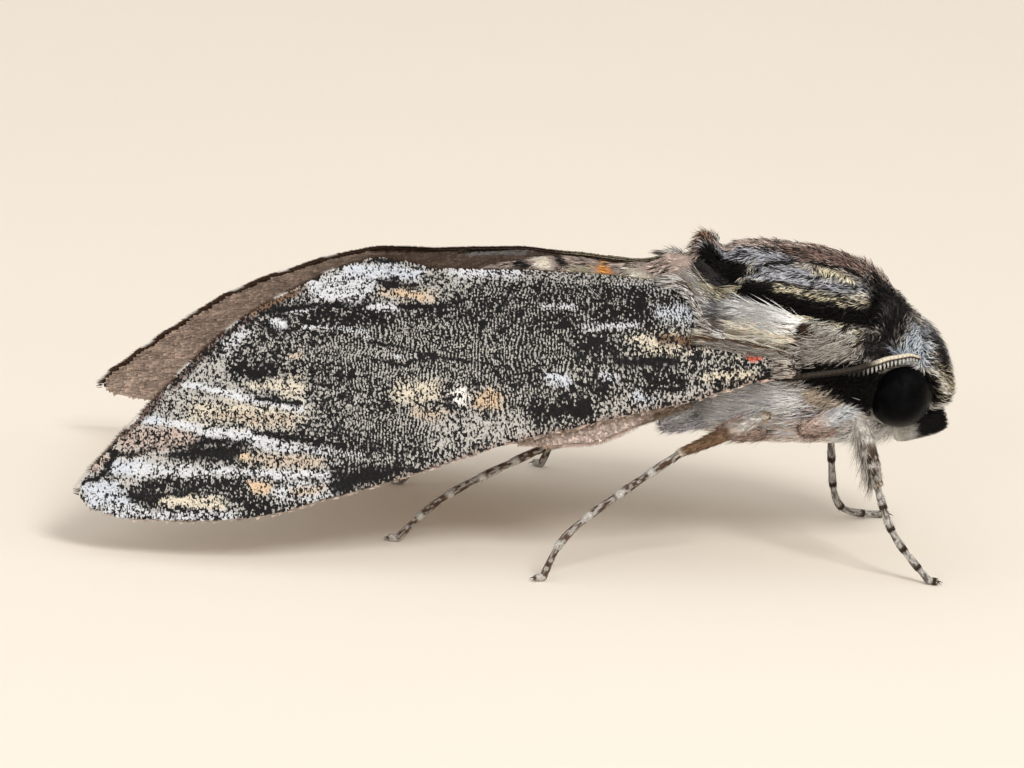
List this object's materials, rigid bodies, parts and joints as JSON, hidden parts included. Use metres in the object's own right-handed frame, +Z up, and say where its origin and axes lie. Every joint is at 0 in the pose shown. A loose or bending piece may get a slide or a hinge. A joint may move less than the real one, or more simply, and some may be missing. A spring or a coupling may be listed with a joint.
{
  "type": "hawk moth, life-size display model at rest",
  "caption": "Resting hawk moth with roof-folded mottled grey wings, furred body, dark eyes, feelers and legs, as a still display model.",
  "frame": {"origin": "on the floor, under the middle of the whole moth's box", "axes": "+X towards the head, +Y to the moth's left, +Z up"},
  "size_m": [0.0558, 0.0318, 0.0201],
  "materials": {
    "grey_fur": "matt scales and hair, grey with black, cream and bluish white marks",
    "pale_fur": "matt grey-brown scales with an orange spot on each side of each ring",
    "wing_scales": "matt scales, mottled black, grey, white and tan",
    "brown_scales": "matt grey-brown scales",
    "leg_scales": "matt brown and cream bands",
    "eye": "glossy black",
    "antenna": "cream scales above, dark combed segments below"
  },
  "bodies": {
    "root": {"abdomen": "pale_fur", "antenna_left": "antenna", "antenna_right": "antenna", "eye_left": "eye", "eye_right": "eye", "foreleg_left_coxa": "leg_scales", "foreleg_left_femur": "leg_scales", "foreleg_left_tarsus": "leg_scales", "foreleg_left_tibia": "leg_scales", "foreleg_right_coxa": "leg_scales", "foreleg_right_femur": "leg_scales", "foreleg_right_tarsus": "leg_scales", "foreleg_right_tibia": "leg_scales", "forewing_left": "wing_scales", "forewing_right": "wing_scales", "head": "grey_fur", "hindleg_left_coxa": "leg_scales", "hindleg_left_femur": "leg_scales", "hindleg_left_tarsus": "leg_scales", "hindleg_left_tibia": "leg_scales", "hindleg_right_coxa": "leg_scales", "hindleg_right_femur": "leg_scales", "hindleg_right_tarsus": "leg_scales", "hindleg_right_tibia": "leg_scales", "hindwing_left": "brown_scales", "hindwing_right": "brown_scales", "midleg_left_coxa": "leg_scales", "midleg_left_femur": "leg_scales", "midleg_left_tarsus": "leg_scales", "midleg_left_tibia": "leg_scales", "midleg_right_coxa": "leg_scales", "midleg_right_femur": "leg_scales", "midleg_right_tarsus": "leg_scales", "midleg_right_tibia": "leg_scales", "palp_left": "grey_fur", "palp_right": "grey_fur", "tegula_left": "grey_fur", "tegula_right": "grey_fur", "thorax": "grey_fur"}
  },
  "joints": []
}
